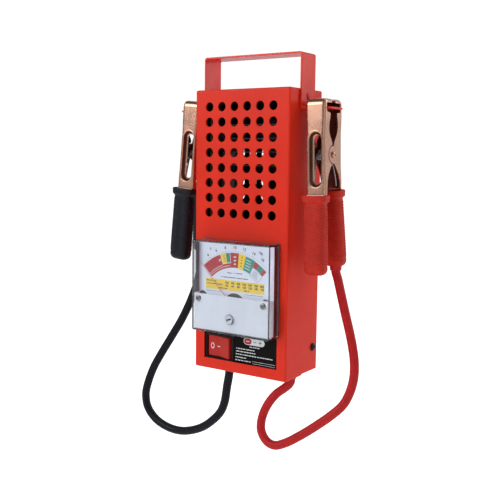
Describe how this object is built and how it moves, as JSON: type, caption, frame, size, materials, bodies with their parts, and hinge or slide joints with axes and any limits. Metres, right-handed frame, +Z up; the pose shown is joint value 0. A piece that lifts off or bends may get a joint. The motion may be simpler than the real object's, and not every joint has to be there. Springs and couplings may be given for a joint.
{
  "type": "battery load tester",
  "caption": "Steel-cased battery load tester with strap handle, panel meter, rocker switch, vented load resistor and spring-clamp leads hung on the handle.",
  "frame": {"origin": "middle of the flat underside of the handle's top bar, where the tester hangs", "axes": "+Z up, +X to the right as seen from the front, the meter faces -Y"},
  "size_m": [0.2596, 0.0773, 0.397],
  "materials": {
    "case_paint": "satin powder coat",
    "black_screws": "black zinc",
    "black_plastic": "fine matt",
    "label": "printed film",
    "rocker_red": "moulded",
    "mask_white": "moulded",
    "dial_white": "printed",
    "clear_plastic": "clear moulded",
    "needle_red": "matt",
    "steel": "zinc plated",
    "black_steel": "blackened",
    "resistor": "oxidised strip",
    "brass": "plain",
    "copper_wire": "enamelled",
    "fibre": "pressed fibre board",
    "red_cable": "smooth",
    "black_cable": "smooth",
    "copper_plate": "copper plated",
    "red_grip": "pebbled",
    "black_grip": "pebbled"
  },
  "bodies": {
    "case": {"dial_plate": "dial_white", "front_shell": "case_paint", "handle_rivet_left": "case_paint", "handle_rivet_right": "case_paint", "handle_strap": "case_paint", "inner_panel": "black_plastic", "label_plate": "label", "lead_black": "black_cable", "lead_red": "red_cable", "load_board_left": "fibre", "load_board_right": "fibre", "load_bolt_left": "steel", "load_bolt_right": "steel", "load_ribbon": "resistor", "magnet_core": "steel", "magnet_yoke": "black_steel", "mask_screw_left": "steel", "mask_screw_right": "steel", "meter_base": "black_plastic", "meter_mask": "mask_white", "meter_stud_left": "brass", "meter_stud_right": "brass", "meter_window": "clear_plastic", "movement_bridge": "black_plastic", "rear_cover": "case_paint", "side_screw_bottom_left": "black_screws", "side_screw_bottom_right": "black_screws", "side_screw_top_left": "black_screws", "side_screw_top_right": "black_screws", "strain_relief_black": "black_cable", "strain_relief_red": "red_cable", "stud_nut_left": "brass", "stud_nut_right": "brass", "switch_housing": "black_plastic", "switch_terminal_left": "brass", "switch_terminal_right": "brass", "wire_load": "black_cable", "wire_positive": "red_cable", "wire_switch": "black_cable"},
    "rocker": {"rocker": "rocker_red"},
    "needle": {"needle": "needle_red", "moving_coil": "copper_wire", "hairspring": "brass"},
    "zero_adjuster": {"zero_adjuster": "mask_white"},
    "red_clamp": {"red_jaw_rear": "copper_plate", "red_pivot_pin": "copper_plate", "red_spring": "steel", "red_grip_rear": "red_grip"},
    "red_jaw": {"red_jaw_front": "copper_plate", "red_grip_front": "red_grip"},
    "black_clamp": {"black_jaw_rear": "copper_plate", "black_pivot_pin": "copper_plate", "black_spring": "steel", "black_grip_rear": "black_grip"},
    "black_jaw": {"black_jaw_front": "copper_plate", "black_grip_front": "black_grip"}
  },
  "joints": [
    {"name": "rocker_tilt", "type": "hinge", "parent": "case", "child": "rocker", "pos_m": [-0.0247, -0.02, -0.2822], "axis": [0, 0, 1], "range_deg": [0, 14]},
    {"name": "needle_swing", "type": "hinge", "parent": "case", "child": "needle", "pos_m": [0.0006, -0.039, -0.238], "axis": [0, 1, 0], "range_deg": [0, 87], "stiffness_Nm_per_rad": 0.002, "springref_deg": -5.73},
    {"name": "zero_adjust", "type": "hinge", "parent": "case", "child": "zero_adjuster", "pos_m": [0.0006, -0.046, -0.2484], "axis": [0, 1, 0], "range_deg": [-40, 40]},
    {"name": "red_clamp_slide", "type": "slide", "parent": "case", "child": "red_clamp", "axis": [1, 0, 0], "range_m": [0, 0.028]},
    {"name": "red_jaw_open", "type": "hinge", "parent": "red_clamp", "child": "red_jaw", "pos_m": [0.0735, 0, -0.092], "axis": [0.9997, 0, 0.0262], "range_deg": [0, 10], "stiffness_Nm_per_rad": 1.2, "springref_deg": -20.05},
    {"name": "black_clamp_slide", "type": "slide", "parent": "case", "child": "black_clamp", "axis": [-1, 0, 0], "range_m": [0, 0.028]},
    {"name": "black_jaw_open", "type": "hinge", "parent": "black_clamp", "child": "black_jaw", "pos_m": [-0.0735, 0, -0.0902], "axis": [0.9962, 0, -0.0872], "range_deg": [0, 10], "stiffness_Nm_per_rad": 1.2, "springref_deg": -20.05}
  ]
}
